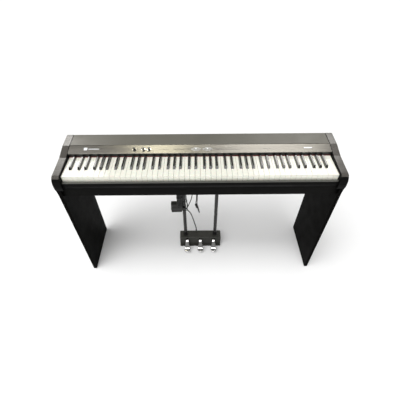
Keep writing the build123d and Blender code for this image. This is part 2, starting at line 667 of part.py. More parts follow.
def pedal(step):
    """One pedal: a hub on the shaft, an arm that curves up and over, and a wide rounded toe."""
    half_arm = PEDAL_WIDTH / 2
    half_toe = PEDAL_TOE_WIDTH / 2
    toe_y = PEDAL_TIP_Y + half_toe
    plan = Line((-half_arm, PEDAL_PIVOT_Y), (-half_arm, toe_y + 44))
    plan += Spline((-half_arm, toe_y + 44), (-half_toe, toe_y), tangents=[(0, -1), (0, -1)])
    plan += ThreePointArc((-half_toe, toe_y), (0, PEDAL_TIP_Y), (half_toe, toe_y))
    plan += Spline((half_toe, toe_y), (half_arm, toe_y + 44), tangents=[(0, 1), (0, 1)])
    plan += Line((half_arm, toe_y + 44), (half_arm, PEDAL_PIVOT_Y))
    plan += Line((half_arm, PEDAL_PIVOT_Y), (-half_arm, PEDAL_PIVOT_Y))
    outline = extrude(make_face(plan), amount=80, dir=(0, 0, 1))
    top_line = [(PEDAL_PIVOT_Y, 45), (36, 61), (14, 68), (-10, 52), (-27, 34), (PEDAL_TIP_Y, 27)]
    bottom_line = [(PEDAL_TIP_Y, 21), (-28, 25), (-11, 40), (11, 56), (34, 50), (PEDAL_PIVOT_Y, 30)]
    side = Spline(*top_line, tangents=[(-1, 0.3), (-1, 0)])
    side += Line(top_line[-1], bottom_line[0])
    side += Spline(*bottom_line, tangents=[(1, 0.05), (1, -0.9)])
    side += Line(bottom_line[-1], top_line[0])
    bar = Pos(-40, 0, 0) * extrude(make_face(Plane.YZ * side), amount=80, dir=(1, 0, 0))
    body = outline & bar
    upper = body.faces().sort_by(lambda face: face.normal_at(face.center()).Z * face.area)[-1].edges()
    body = fillet(upper.filter_by(lambda edge: edge.center().Y < PEDAL_PIVOT_Y - 5), 3.0)
    body += crosswise((-half_arm, half_arm), PEDAL_PIVOT_Y, PEDAL_PIVOT_Z, 8.5)
    body -= crosswise((-20, 20), PEDAL_PIVOT_Y, PEDAL_PIVOT_Z, SHAFT_RADIUS + 0.06)
    return Pos(step * PEDAL_SPACING, 0, 0) * body


def pedal_shaft():
    """The steel shaft that the three pedals turn on."""
    return crosswise((-118, 118), PEDAL_PIVOT_Y, PEDAL_PIVOT_Z, SHAFT_RADIUS)


def pedal_springs():
    """A torsion spring beside each hub, its leg on the base plate."""
    wire = 0.9
    coil_radius = 6.2
    coil_path = Helix(pitch=2.1, height=6.3, radius=coil_radius)
    section = Plane(origin=coil_path @ 0, z_dir=coil_path % 0) * Circle(wire)
    spring = Rot(0, 90, 0) * sweep(section, path=coil_path, is_frenet=True)
    spring += upright(0, 0, wire, (BASE_TOP_Z - PEDAL_PIVOT_Z, -coil_radius))
    hub_side = Pos(PEDAL_WIDTH / 2 + 2.0, PEDAL_PIVOT_Y, PEDAL_PIVOT_Z) * spring
    left = Pos(-PEDAL_SPACING, 0, 0) * hub_side
    return group([left, hub_side, mirror(left, Plane.YZ)])


# ---------------------------------------------------------------- power and cables

def power_adapter():
    """Adapter block strapped to the left rod, with a lead boss and a two-pin inlet below."""
    body = block(ADAPTER_X, ADAPTER_Y, ADAPTER_Z)
    body = fillet(body.edges().filter_by(Axis.Z), 4.0)
    body = fillet(body.faces().sort_by(Axis.Z)[-1].edges(), 1.5)
    start = LEAD_LOWER_ROUTE[0]
    boss_height = start[2] - ADAPTER_Z[1]
    body += Pos(start[0], start[1], ADAPTER_Z[1] + boss_height / 2) * Cone(4.4, 2.8, boss_height)
    bottom = ADAPTER_Z[0]
    inlet_x = (ADAPTER_INLET_X - 8, ADAPTER_INLET_X + 8)
    body -= block(inlet_x, (42.5, 51.5), (bottom - 1, bottom + 15))
    for offset in (-4, 4):
        body += upright(ADAPTER_INLET_X + offset, 47.0, 1.2, (bottom + 7, bottom + 15))
    return body


def swept_cable(route, diameter, label):
    """A round cable along straight runs joined by arcs as large as the runs allow."""
    points = [Vector(*point) for point in route]
    radii = []
    for before, corner, after in zip(points, points[1:], points[2:]):
        turn = (corner - before).get_angle(after - corner)
        shorter = min((corner - before).length, (after - corner).length)
        radii.append(0.45 * shorter / math.tan(math.radians(turn / 2)))
    path = FilletPolyline(*points, radius=radii)
    start_plane = Plane(origin=points[0], z_dir=points[1] - points[0])
    cable = sweep(start_plane * Circle(diameter / 2), path=path)
    expected = math.pi * diameter ** 2 / 4 * path.length
    print(label, "length", round(path.length, 1), "smallest radius", round(min(radii), 1),
          "volume ratio", round(cable.volume / expected, 4))
    return cable


def pedal_cable():
    """Cable from the pedal unit, up along the left rod, to its plug under the case."""
    return swept_cable(PEDAL_CABLE_ROUTE, PEDAL_CABLE_DIAMETER, "pedal cable")


def power_lead():
    """The two free stretches of the adapter's lead, before and after its hank."""
    lower = swept_cable(LEAD_LOWER_ROUTE, LEAD_DIAMETER, "lead, lower stretch")
    upper = swept_cable(LEAD_UPPER_ROUTE, LEAD_DIAMETER, "lead, upper stretch")
    return group([lower, upper])


def power_lead_hank():
    """Outer shape of the folded surplus of the lead."""
    hank = upright(*HANK_CENTRE, HANK_RADIUS, (HANK_BOTTOM_Z, HANK_TOP_Z))
    return chamfer(hank.edges(), 1.5)


def plug(x, body_radius, pin_radius, body_bottom_z):
    """Straight plug pushed up into a socket."""
    body = upright(x, JACK_Y, body_radius, (body_bottom_z, JACK_FACE_Z))
    body = chamfer(body.edges().sort_by(Axis.Z)[0], 1.2)
    return body + upright(x, JACK_Y, pin_radius, (JACK_FACE_Z, JACK_TOP_Z - 2))


def cable_ties():
    """Ties round the rod and the pedal cable, the adapter's strap, and the lead's clip."""
    solids = []
    width = ROD_RADIUS * 2 + 0.1
    left = -ROD_X - width / 2
    front = ROD_Y - width / 2
    for cable_x, z in TIE_PLACES:
        right = cable_x + PEDAL_CABLE_DIAMETER / 2 + 1.6
        middle = (left + right) / 2
        hole = Pos(middle, ROD_Y, z) * extrude(SlotOverall(right - left, width), amount=4, both=True)
        band = SlotOverall(right - left + 2.4, width + 2.4)
        ring = Pos(middle, ROD_Y, z) * extrude(band, amount=1.8, both=True) - hole
        lock = block((middle - 3, middle + 3), (front - 4.6, front - 0.9), (z - 2.6, z + 2.6))
        solids.append(ring + lock)
    rod_side = -ROD_X + ROD_RADIUS
    strap_x = (ADAPTER_X[0] - 1.3, rod_side + 1.3)
    strap_y = (ADAPTER_Y[0] - 1.3, ADAPTER_Y[1] + 1.3)
    strap = block(strap_x, strap_y, (318, 332))
    hollow_x = (ADAPTER_X[0] - 0.05, rod_side + 0.05)
    strap -= block(hollow_x, (ADAPTER_Y[0] - 0.05, ADAPTER_Y[1] + 0.05), (317, 333))
    solids.append(strap)
    clip = Pos(-29, 40, 636) * Rot(90, 0, 0) * (Cylinder(4.9, 6) - Cylinder(3.3, 8))
    tab = block((-31, -27), (37, 43), (640.2, CASE_BOTTOM_Z))
    solids.append(clip + tab)
    return group(solids)


# ---------------------------------------------------------------- write the files

def all_nodes():
    """Every node of the piano, by name."""
    nodes = {
        "lower_case": lower_case(),
        "upper_case": upper_case(),
        "control_panel": control_panel(),
        "left_cheek": cheek(-1),
        "right_cheek": cheek(1),
        "key_slip": key_slip(),
        "key_felt": key_felt(),
        "key_chassis": key_chassis(),
        "contact_board": contact_board(),
        "main_board": main_board(),
        "speakers": speakers(),
        "jack_panel": jack_panel(),
        "name_plates": name_plates(),
        "knob_bezels": knob_bezels(),
        "tone_buttons": tone_buttons(),
        "left_leg_panel": leg_panel(-1),
        "right_leg_panel": leg_panel(1),
        "front_beam": beam((FRONT_BEAM_Y, FRONT_BEAM_Y + PANEL_BOARD), FRONT_BEAM_HEIGHT),
        "rear_beam": beam((REAR_BEAM_Y - PANEL_BOARD, REAR_BEAM_Y), REAR_BEAM_HEIGHT),
        "corner_brackets": corner_brackets(),
        "stand_bolts": stand_bolts(),
        "foot_glides": foot_glides(),
        "pedal_rods": pedal_rods(),
        "rod_collars": rod_collars(),
        "rod_flanges": rod_flanges(),
        "pedal_housing": pedal_housing(),
        "pedal_base": pedal_base(),
        "left_pedal": pedal(-1),
        "middle_pedal": pedal(0),
        "right_pedal": pedal(1),
        "pedal_shaft": pedal_shaft(),
        "pedal_springs": pedal_springs(),
        "pedal_cable": pedal_cable(),
        "pedal_plug": plug(PEDAL_JACK_X, 6.0, 3.0, 612.0),
        "cable_ties": cable_ties(),
        "power_adapter": power_adapter(),
        "power_lead": power_lead(),
        "power_lead_hank": power_lead_hank(),
        "power_plug": plug(POWER_JACK_X, 5.0, 2.7, 617.0),
    }
    for name, x in KNOB_X.items():
        nodes[name] = knob(x)
    for name, x in PAD_X.items():
        nodes[name] = rocker_pad(x)
    return nodes | keys()


os.makedirs("parts", exist_ok=True)
for node_name, shape in all_nodes().items():
    export_step(shape, "parts/" + node_name + ".step")
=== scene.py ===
import json
import math

import bmesh
import bpy
from mathutils import Matrix, Vector


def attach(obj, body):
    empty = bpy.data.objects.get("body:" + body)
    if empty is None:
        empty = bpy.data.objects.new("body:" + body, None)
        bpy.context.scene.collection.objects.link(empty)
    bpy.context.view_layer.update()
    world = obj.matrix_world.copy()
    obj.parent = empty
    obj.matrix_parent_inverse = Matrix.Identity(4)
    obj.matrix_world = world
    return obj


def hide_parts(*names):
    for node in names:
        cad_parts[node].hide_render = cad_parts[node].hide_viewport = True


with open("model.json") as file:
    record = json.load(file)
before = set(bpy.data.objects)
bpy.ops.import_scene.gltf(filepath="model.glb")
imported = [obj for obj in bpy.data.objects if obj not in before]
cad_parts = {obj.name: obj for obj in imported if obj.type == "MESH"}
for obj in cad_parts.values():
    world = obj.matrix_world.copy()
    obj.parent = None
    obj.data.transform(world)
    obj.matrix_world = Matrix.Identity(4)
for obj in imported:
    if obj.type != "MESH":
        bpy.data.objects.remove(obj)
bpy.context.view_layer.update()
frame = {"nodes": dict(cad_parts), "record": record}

# A digital piano on a panel stand, with a pedal unit, its adapter and its cables.
# Metres, in the CAD model's frame: +X to the player's right, +Y away from the player, +Z up.

STAND = "piano_and_stand"
MM = 0.001

# Cables: diameters, and the points of their routes, in millimetres as in the CAD source
PEDAL_CABLE_DIAMETER = 6.0 * MM
PEDAL_CABLE_ROUTE = [
    (-25, 67, 90), (-25, 67, 112), (-30, 65.5, 142), (-37, 63, 176), (-44, 59, 214),
    (-51, 56, 248), (-60, 53, 276), (-70.5, 51, 291), (-77.5, 50, 305), (-75, 49.4, 322),
    (-72.6, 49.2, 338), (-74.8, 49.6, 356), (-78.2, 50, 376), (-78.7, 50.4, 412),
    (-78.3, 49.6, 470), (-78.7, 50, 524), (-76.6, 53, 553), (-62, 69, 575), (-45, 85, 591),
    (-45, 85, 612),
]
LEAD_DIAMETER = 4.6 * MM
LEAD_LOWER_ROUTE = [
    (-115, 47, 372), (-115, 47, 397), (-115.6, 46.6, 436), (-114.6, 47.2, 478),
    (-115.2, 47.2, 511), (-115, 47, 539), (-115, 22, 540), (-120, 16, 520),
]
LEAD_UPPER_ROUTE = [
    (-101, 15, 356), (-104, 15, 340), (-97, 17, 326), (-84, 22, 327), (-73, 25, 344),
    (-62, 27, 371), (-50, 31, 400), (-42, 36, 440), (-37, 42, 484), (-34, 47, 530),
    (-32, 50, 572), (-31, 52, 606), (-31, 53, 636), (-27, 27, 636), (-23, 27.6, 606),
    (-21.5, 28.2, 566), (-20.5, 27.6, 520), (-19.5, 28.4, 470), (-19.5, 27.8, 430),
    (-21, 28, 399), (-25.5, 28.4, 371), (-15.5, 29, 337), (-8.5, 30, 308), (-5, 37, 288),
    (-5, 48, 280), (-7.5, 60, 286), (-12, 66, 306), (-19, 67, 334), (-16, 68, 366), (-14.5, 70, 408),
    (-13.5, 73, 455), (-12.5, 77, 505), (-11, 81, 548), (-10, 85, 587), (-10, 85, 617),
]
PEDAL_SLEEVE_RADII, LEAD_SLEEVE_RADII = (0.0048, 0.0034), (0.0042, 0.0027)

# The hank: the lead's surplus folded up and down round a vertical line, in millimetres
HANK_CENTRE = (-113.5, 15.0)
HANK_END_RADIUS, HANK_WAIST_RADIUS = 13.4, 12.4
HANK_BOTTOM_Z, HANK_TOP_Z = 358.0, 507.0
HANK_STRANDS = 11
HANK_STRAND_TURN = 163.6
HANK_NEST = 5.4
HANK_FIRST_DROP, HANK_LAST_RISE = 14.0, 12.0
HANK_WOBBLE = 0.35
HANK_SHARES = (0.0, 0.14, 0.34, 0.5, 0.66, 0.86, 1.0)
HANK_TIE_Z = 434.0

# The hank's tie, and the filter bead on one run of the lead, in metres
TIE_INNER_RADIUS, TIE_OUTER_RADIUS, TIE_HALF_HEIGHT = 0.0149, 0.0158, 0.004
BEAD_RUN = LEAD_UPPER_ROUTE[20:22]
BEAD_LENGTH, BEAD_RADIUS, BEAD_CHAMFER = 0.030, 0.0064, 0.0014

# The rear cover's front edge: the groove and the wall before it are painted near black as shade, on the same
# piece
COVER_FRONT_Y = 0.0583

# Control panel: a point of its face, its slope, and the row that its knobs and pads stand on
PANEL_POINT_Y, PANEL_POINT_Z = 0.054, 0.743
PANEL_SLOPE = 0.2235
CONTROL_ROW_Y = 0.028

# Knobs: where they stand along X, and the skirt, pointer and grip ribs of each
KNOB_PLACES = {"left_knob": -0.306, "middle_knob": -0.265, "right_knob": -0.239}
KNOB_RADIUS, KNOB_TOP = 0.0062, 0.0105
SKIRT_OUTER_RADIUS, SKIRT_INNER_RADIUS, SKIRT_HEIGHT = KNOB_RADIUS + 0.0024, KNOB_RADIUS + 0.0006, 0.0007
POINTER_HALF_WIDTH = 0.00045
POINTER_REACH = (0.0008, KNOB_RADIUS - 0.0006)
POINTER_Z = (KNOB_TOP - 0.0008, KNOB_TOP - 0.0003)
KNOB_RIBS = 24
RIB_HALF_SIZE = 0.0003
RIB_Z = (0.0016, 0.0086)

# Pads: where they stand along X, and how much longer and wider than a pad its rim and inlay are
PAD_PLACES = {"left_rocker_pad": -0.019, "right_rocker_pad": 0.035}
PAD_LENGTH, PAD_WIDTH, PAD_BOSS_TOP = 0.040, 0.017, 0.0026
RIM_OUTER_EXTRA, RIM_INNER_EXTRA, RIM_HEIGHT = (0.0052, 0.004), (0.0026, 0.0018), 0.0003
INSET_EXTRA, INSET_Z = (-0.005, -0.003), (0.0018, 0.00186)
CAP_RADIUS, CAP_HEIGHT = 0.0035, 0.0002

# Printed lines: their left end, right end and place up the panel, and the ticks beyond them
PRINTED_LINES = [(-0.192, -0.146, 0.026), (-0.124, -0.075, 0.027), (0.075, 0.187, 0.024)]
INK_Z = (0.0, 0.00006)
LINE_HALF_WIDTH, TICK_HALF_WIDTH, TICK_REACH = 0.0007, 0.0004, (0.0012, 0.0032)

# Camera: its place, how far it looks down, turns right and tilts, in degrees, and its lens
CAMERA_PLACE = (-0.00939, -1.15513, 1.57842)
CAMERA_DOWN, CAMERA_RIGHT, CAMERA_TILT = 48.3, 0.39, -0.23
CAMERA_LENS, SENSOR_WIDTH, CAMERA_SHIFT_UP = 27.18, 36.0, 0.0453

# Light: the world, the sun, and the tints and common target of the area lights
WORLD_COLOUR, WORLD_STRENGTH = (1.0, 1.0, 0.985, 1.0), 0.24
SUN_DIRECTION, SUN_SPREAD, SUN_STRENGTH = (0.36, 0.42, -1.35), 56.0, 3.25
WARM, NEUTRAL, WHITE = (1.0, 0.95, 0.74), (1.0, 0.98, 0.94), (1.0, 1.0, 1.0)
KEY_ROW = (0.0, -0.05, 0.72)
FLOOR_REACH = 9.0

# The stretch of a noise that is the same along X, Y and Z
EVEN = (1.0, 1.0, 1.0)


# ---------------------------------------------------------------- camera and light

def make_camera():
    """The camera at the height and angle of a standing person in front of the keys."""
    pitch, yaw, roll = (math.radians(angle) for angle in (CAMERA_DOWN, CAMERA_RIGHT, CAMERA_TILT))
    ahead = Vector((math.sin(yaw) * math.cos(pitch), math.cos(yaw) * math.cos(pitch), -math.sin(pitch)))
    level = Vector((math.cos(yaw), -math.sin(yaw), 0.0))
    above = level.cross(ahead)
    right = level * math.cos(roll) + above * math.sin(roll)
    up = above * math.cos(roll) - level * math.sin(roll)
    data = bpy.data.cameras.new("camera")
    data.sensor_width = SENSOR_WIDTH
    data.lens = CAMERA_LENS
    data.shift_y = CAMERA_SHIFT_UP
    data.clip_end = 60.0
    camera = bpy.data.objects.new("camera", data)
    axes = Matrix((right, up, -ahead)).transposed().to_4x4()
    camera.matrix_world = Matrix.Translation(CAMERA_PLACE) @ axes
    bpy.context.scene.collection.objects.link(camera)
    bpy.context.scene.camera = camera


def area_light(name, place, target, size, watts, colour=WHITE, glint_only=True):
    """A rectangular light that faces a point; one that is glint_only adds shine and no diffuse light."""
    data = bpy.data.lights.new(name, "AREA")
    data.shape = "RECTANGLE"
    data.size, data.size_y = size
    data.energy = watts
    data.color = colour
    light = bpy.data.objects.new(name, data)
    light.visible_diffuse = not glint_only
    light.location = place
    light.rotation_euler = (Vector(target) - Vector(place)).to_track_quat("-Z", "Y").to_euler()
    bpy.context.scene.collection.objects.link(light)


def make_world():
    """An even pale world."""
    world = bpy.data.worlds.new("studio")
    world.use_nodes = True
    background = world.node_tree.nodes["Background"]
    background.inputs["Color"].default_value = WORLD_COLOUR
    background.inputs["Strength"].default_value = WORLD_STRENGTH
    bpy.context.scene.world = world
    bpy.context.scene.view_settings.view_transform = "Standard"


def make_sun():
    """A soft sun from high at the front left."""
    sun = bpy.data.lights.new("overhead", "SUN")
    sun.energy = SUN_STRENGTH
    sun.angle = math.radians(SUN_SPREAD)
    sun_object = bpy.data.objects.new("overhead", sun)
    sun_object.rotation_euler = Vector(SUN_DIRECTION).to_track_quat("-Z", "Y").to_euler()
    bpy.context.scene.collection.objects.link(sun_object)


def make_panes():
    """Five panes above and behind the piano, for shine alone, and a low light in front of it."""
    area_light("behind_warm", place=(-0.5, 1.2, 2.8), target=(-0.18, 0.0, 0.73), size=(0.5, 0.6),
               watts=8.8, colour=WARM)
    area_light("behind_right", place=(0.85, 1.2, 2.8), target=(0.3, 0.0, 0.73), size=(1.2, 0.7),
               watts=13.0, colour=NEUTRAL)
    area_light("left_window", place=(-1.76, 2.15, 2.53), target=KEY_ROW, size=(0.75, 0.6),
               watts=9.0, colour=NEUTRAL)
    area_light("left_door", place=(-1.9, 2.15, 2.05), target=KEY_ROW, size=(0.6, 0.35),
               watts=6.0, colour=NEUTRAL)
    area_light("right_window", place=(1.4, 2.15, 2.55), target=KEY_ROW, size=(1.1, 0.6),
               watts=10.0, colour=NEUTRAL)
    area_light("low_front", place=(0.0, -3.0, 0.9), target=(0.0, 0.0, 0.3), size=(2.6, 1.2),
               watts=20.0, glint_only=False)


def make_floor():
    """A plain pale floor."""
    mesh = bpy.data.meshes.new("floor")
    corners = [(*corner, 0.0) for corner in box((-FLOOR_REACH, FLOOR_REACH), (-FLOOR_REACH, FLOOR_REACH))]
    mesh.from_pydata(corners, [], [(0, 1, 2, 3)])
    floor = bpy.data.objects.new("floor", mesh)
    bpy.context.scene.collection.objects.link(floor)
    material = principled("pale_floor", Roughness=0.8)
    shade = noise(material, 6.0, detail=3.0)
    colour = blend_colours(material, shade, (0.88, 0.88, 0.88), (0.9, 0.9, 0.9))
    connect(material, colour, "Base Color")
    mesh.materials.append(material)


# ---------------------------------------------------------------- material nodes

def principled(name, **values):
    """A material whose shader sockets have these values; _ in a name stands for a space."""
    material = bpy.data.materials.new(name)
    material.use_nodes = True
    shader = material.node_tree.nodes["Principled BSDF"]
    for key, value in values.items():
        shader.inputs[key.replace("_", " ")].default_value = value
    return material


def add_node(material, kind, inputs, **settings):
    """A shader node with its settings, and each input given a value or another node's output."""
    made = material.node_tree.nodes.new("ShaderNode" + kind)
    for key, value in settings.items():
        setattr(made, key, value)
    for key, value in inputs.items():
        if isinstance(value, bpy.types.NodeSocket):
            material.node_tree.links.new(value, made.inputs[key])
        else:
            made.inputs[key].default_value = value
    return made


def connect(material, output, socket):
    """Link an output to one of the main shader's sockets."""
    shader = material.node_tree.nodes["Principled BSDF"]
    material.node_tree.links.new(output, shader.inputs[socket])


def surface_place(material, stretch=EVEN):
    """Coordinates fixed to the piece, in metres times stretch."""
    place = add_node(material, "TexCoord", {}).outputs["Object"]
    return add_node(material, "Mapping", {"Vector": place, "Scale": stretch}).outputs["Vector"]


def noise(material, scale, detail=4.0, roughness=0.5, stretch=EVEN):
    """Cloudy noise from 0 to 1."""
    inputs = {
        "Vector": surface_place(material, stretch), "Scale": scale, "Detail": detail,
        "Roughness": roughness,
    }
    return add_node(material, "TexNoise", inputs).outputs["Fac"]


def cells(material, scale):
    """Distance to the nearest of many scattered points, for a moulded grain."""
    inputs = {"Vector": surface_place(material), "Scale": scale}
    return add_node(material, "TexVoronoi", inputs, feature="SMOOTH_F1").outputs["Distance"]


def remap(material, value, low, high, new_low=0.0, new_high=1.0):
    """A value's range from low to high, spread over a new range and held at its ends."""
    inputs = {"Value": value, "From Min": low, "From Max": high, "To Min": new_low, "To Max": new_high}
    return add_node(material, "MapRange", inputs).outputs["Result"]


def blend_colours(material, factor, first, second):
    """A colour between two by a factor; each of the three may be another node's output."""
    mix = add_node(material, "Mix", {}, data_type="RGBA")
    for index, value in {0: factor, 6: first, 7: second}.items():
        if isinstance(value, tuple):
            mix.inputs[index].default_value = (*value, 1.0)
        else:
            material.node_tree.links.new(value, mix.inputs[index])
    return mix.outputs[2]


def multiply(material, first, second):
    """One value times another."""
    return add_node(material, "Math", {0: first, 1: second}, operation="MULTIPLY").outputs[0]


def raise_surface(material, height, depth):
    """Bump from a height of 0 to 1, depth metres deep."""
    bump = add_node(material, "Bump", {"Height": height, "Distance": depth, "Strength": 1.0})
    connect(material, bump.outputs["Normal"], "Normal")


def vary_roughness(material, low, high, scale=14.0):
    """Roughness that wanders between two values, as handled surfaces have it."""
    clouds = remap(material, noise(material, scale, detail=6.0, roughness=0.6), 0.35, 0.65)
    connect(material, remap(material, clouds, 0.0, 1.0, low, high), "Roughness")


def edge_wear_and_highlight(material, colour, wear_and_highlight, reach=0.0011, amount=0.5):
    """Colour that turns to another along sharp edges, in patches: wear, and on the end caps a painted
    highlight.
    """
    rounded = add_node(material, "Bevel", {"Radius": reach}, samples=4).outputs["Normal"]
    flat = add_node(material, "NewGeometry", {}).outputs["Normal"]
    likeness = add_node(material, "VectorMath", {0: rounded, 1: flat}, operation="DOT_PRODUCT")
    edge = remap(material, likeness.outputs["Value"], 0.995, 0.93)
    patches = remap(material, noise(material, 60.0, detail=5.0), 0.4, 0.6)
    factor = multiply(material, multiply(material, edge, patches), amount)
    return blend_colours(material, factor, colour, wear_and_highlight)


# ---------------------------------------------------------------- materials

def moulded(name, dark, light, roughness, specular, grain=1500.0, depth=0.00003):
    """Moulded plastic: clouded colour, a fine pebbled grain, and edges rubbed paler."""
    material = principled(name, Specular_IOR_Level=specular)
    colour = blend_colours(material, noise(material, 9.0, detail=5.0), dark, light)
    wear_and_highlight = tuple(min(1.0, 1.6 * part + 0.004) for part in light)
    connect(material, edge_wear_and_highlight(material, colour, wear_and_highlight), "Base Color")
    vary_roughness(material, roughness - 0.06, roughness + 0.06)
    raise_surface(material, cells(material, grain), depth)
    return material


def case_black():
    return moulded("case_black", dark=(0.003, 0.003, 0.003), light=(0.005, 0.005, 0.0047), roughness=0.42,
                   specular=0.035)


def cover_grey():
    """Satin paint on the rear cover; the groove and the wall before it are painted near black, as painted
    shade.
    """
    material = moulded("cover_grey", dark=(0.098, 0.094, 0.076), light=(0.115, 0.109, 0.09), roughness=0.4,
                       specular=0.5, grain=2200.0, depth=0.00001)
    shader = material.node_tree.nodes["Principled BSDF"]
    painted = shader.inputs["Base Color"].links[0].from_socket
    # Painted shade: in front of the cover's front edge, the groove and the wall under the panel's lip are
    # painted near black.
    place = add_node(material, "TexCoord", {}).outputs["Object"]
    depth = add_node(material, "SeparateXYZ", {"Vector": place}).outputs["Y"]
    outside_painted_shade = remap(material, depth, COVER_FRONT_Y - 0.0002, COVER_FRONT_Y)
    connect(material, blend_colours(material, outside_painted_shade, (0.004, 0.004, 0.004), painted), "Base Color")
    return material


def cheek_grey():
    """A glossier, darker paint on the end caps, with pale patches along their edges that are a painted
    highlight.
    """
    material = principled("cheek_grey", Specular_IOR_Level=0.6)
    clouds = noise(material, 9.0, detail=5.0)
    colour = blend_colours(material, clouds, (0.06, 0.054, 0.047), (0.071, 0.065, 0.057))
    # Painted highlight: the pale colour along the end caps' edges stands for light caught by those edges.
    wear_and_highlight = edge_wear_and_highlight(material, colour, (0.5, 0.48, 0.45), reach=0.0012, amount=0.35)
    connect(material, wear_and_highlight, "Base Color")
    vary_roughness(material, 0.2, 0.3)
    raise_surface(material, cells(material, 2200.0), 0.00001)
    return material


def panel_silver():
    """Brushed sheet metal, its scratches along the keyboard."""
    material = principled("panel_silver", Metallic=0.85, Anisotropic=0.4)
    scratches = noise(material, 1.0, detail=8.0, roughness=0.75, stretch=(7.0, 2600.0, 2600.0))
    bands = noise(material, 1.0, detail=4.0, stretch=(1.6, 160.0, 160.0))
    scratched = remap(material, scratches, 0.3, 0.7)
    fine = blend_colours(material, scratched, (0.165, 0.157, 0.14), (0.24, 0.23, 0.208))
    banded = remap(material, bands, 0.35, 0.65, 0.0, 0.4)
    colour = blend_colours(material, banded, fine, (0.18, 0.172, 0.155))
    connect(material, edge_wear_and_highlight(material, colour, (0.8, 0.79, 0.74), amount=0.8), "Base Color")
    connect(material, remap(material, scratches, 0.3, 0.7, 0.24, 0.34), "Roughness")
    raise_surface(material, scratches, 0.00002)
    return material


def slip_grey():
    return moulded("slip_grey", dark=(0.062, 0.062, 0.055), light=(0.085, 0.085, 0.075), roughness=0.4,
                   specular=0.3)


def felt_red():
    """Pressed wool felt."""
    material = principled("felt_red", Roughness=0.95, Specular_IOR_Level=0.1, Sheen_Weight=0.4)
    fibres = noise(material, 2200.0, detail=6.0, roughness=0.7)
    colour = blend_colours(material, fibres, (0.11, 0.005, 0.007), (0.24, 0.018, 0.024))
    connect(material, colour, "Base Color")
    raise_surface(material, fibres, 0.0003)
    return material


def chassis_grey():
    return moulded("chassis_grey", dark=(0.012, 0.012, 0.012), light=(0.02, 0.02, 0.02), roughness=0.5,
                   specular=0.3)


def board_green():
    """Solder mask over faint copper tracks."""
    material = principled("board_green", Roughness=0.3)
    tracks = add_node(material, "TexBrick", {"Vector": surface_place(material), "Scale": 90.0})
    lines = remap(material, tracks.outputs["Fac"], 0.4, 0.6)
    connect(material, blend_colours(material, lines, (0.012, 0.09, 0.03), (0.05, 0.2, 0.06)), "Base Color")
    raise_surface(material, lines, 0.00004)
    return material


def speaker_black():
    """Pressed paper cone and its painted basket."""
    material = principled("speaker_black", Roughness=0.7, Specular_IOR_Level=0.3)
    fibres = noise(material, 700.0, detail=6.0)
    connect(material, blend_colours(material, fibres, (0.01, 0.01, 0.01), (0.03, 0.03, 0.03)), "Base Color")
    raise_surface(material, fibres, 0.0002)
    return material


def key_white():
    """Ivory-white acrylic: a tint that changes along the keyboard, a faint mottle, and uneven gloss."""
    material = principled("key_white", IOR=1.49, Coat_Weight=0.35, Coat_Roughness=0.08,
                          Subsurface_Weight=0.04, Subsurface_Scale=0.004)
    keys = noise(material, 1.0, detail=2.0, stretch=(26.0, 1.5, 1.5))
    tint = blend_colours(material, remap(material, keys, 0.3, 0.7), (0.8, 0.795, 0.7), (0.84, 0.835, 0.74))
    mottle = remap(material, noise(material, 120.0, detail=6.0), 0.3, 0.7, 0.0, 0.25)
    connect(material, blend_colours(material, mottle, tint, (0.77, 0.765, 0.67)), "Base Color")
    vary_roughness(material, 0.18, 0.32, scale=30.0)
    raise_surface(material, noise(material, 500.0, detail=3.0), 0.000006)
    return material


def key_black():
    """Polished black, a little worn along the edges."""
    material = principled("key_black", IOR=1.6, Specular_IOR_Level=0.9)
    colour = blend_colours(material, noise(material, 90.0), (0.006, 0.006, 0.005), (0.011, 0.01, 0.009))
    connect(material, edge_wear_and_highlight(material, colour, (0.06, 0.055, 0.05)), "Base Color")
    vary_roughness(material, 0.08, 0.16, scale=40.0)
    raise_surface(material, noise(material, 1.0, detail=5.0, stretch=(900.0, 60.0, 900.0)), 0.000008)
    return material


def control_black():
    return moulded("control_black", dark=(0.004, 0.004, 0.004), light=(0.008, 0.008, 0.008),
                   roughness=0.25, specular=0.5, grain=2600.0, depth=0.00001)


def polished(name, colour, roughness, smudge):
    """Plated metal with smudges and hairline scratches."""
    material = principled(name, Metallic=1.0)
    smudges = remap(material, noise(material, 55.0, detail=7.0, roughness=0.65), 0.42, 0.68)
    dull = tuple(part * 0.82 for part in colour)
    connect(material, blend_colours(material, smudges, colour, dull), "Base Color")
    connect(material, remap(material, smudges, 0.0, 1.0, roughness, roughness + smudge), "Roughness")
    hairlines = noise(material, 1.0, detail=6.0, roughness=0.8, stretch=(1800.0, 60.0, 1800.0))
    raise_surface(material, hairlines, 0.000004)
    return material


def trim_chrome():
    return polished("trim_chrome", colour=(0.85, 0.84, 0.8), roughness=0.12, smudge=0.15)


def plate_white():
    """Lacquered plates, slightly orange-peeled."""
    material = principled("plate_white", Coat_Weight=0.5, Coat_Roughness=0.06, Roughness=0.3)
    clouds = noise(material, 160.0)
    connect(material, blend_colours(material, clouds, (0.78, 0.8, 0.82), (0.9, 0.91, 0.92)), "Base Color")
    raise_surface(material, noise(material, 600.0), 0.00001)
    return material


def button_grey():
    return moulded("button_grey", dark=(0.27, 0.265, 0.235), light=(0.34, 0.33, 0.3), roughness=0.36,
                   specular=0.5, grain=2600.0, depth=0.00001)


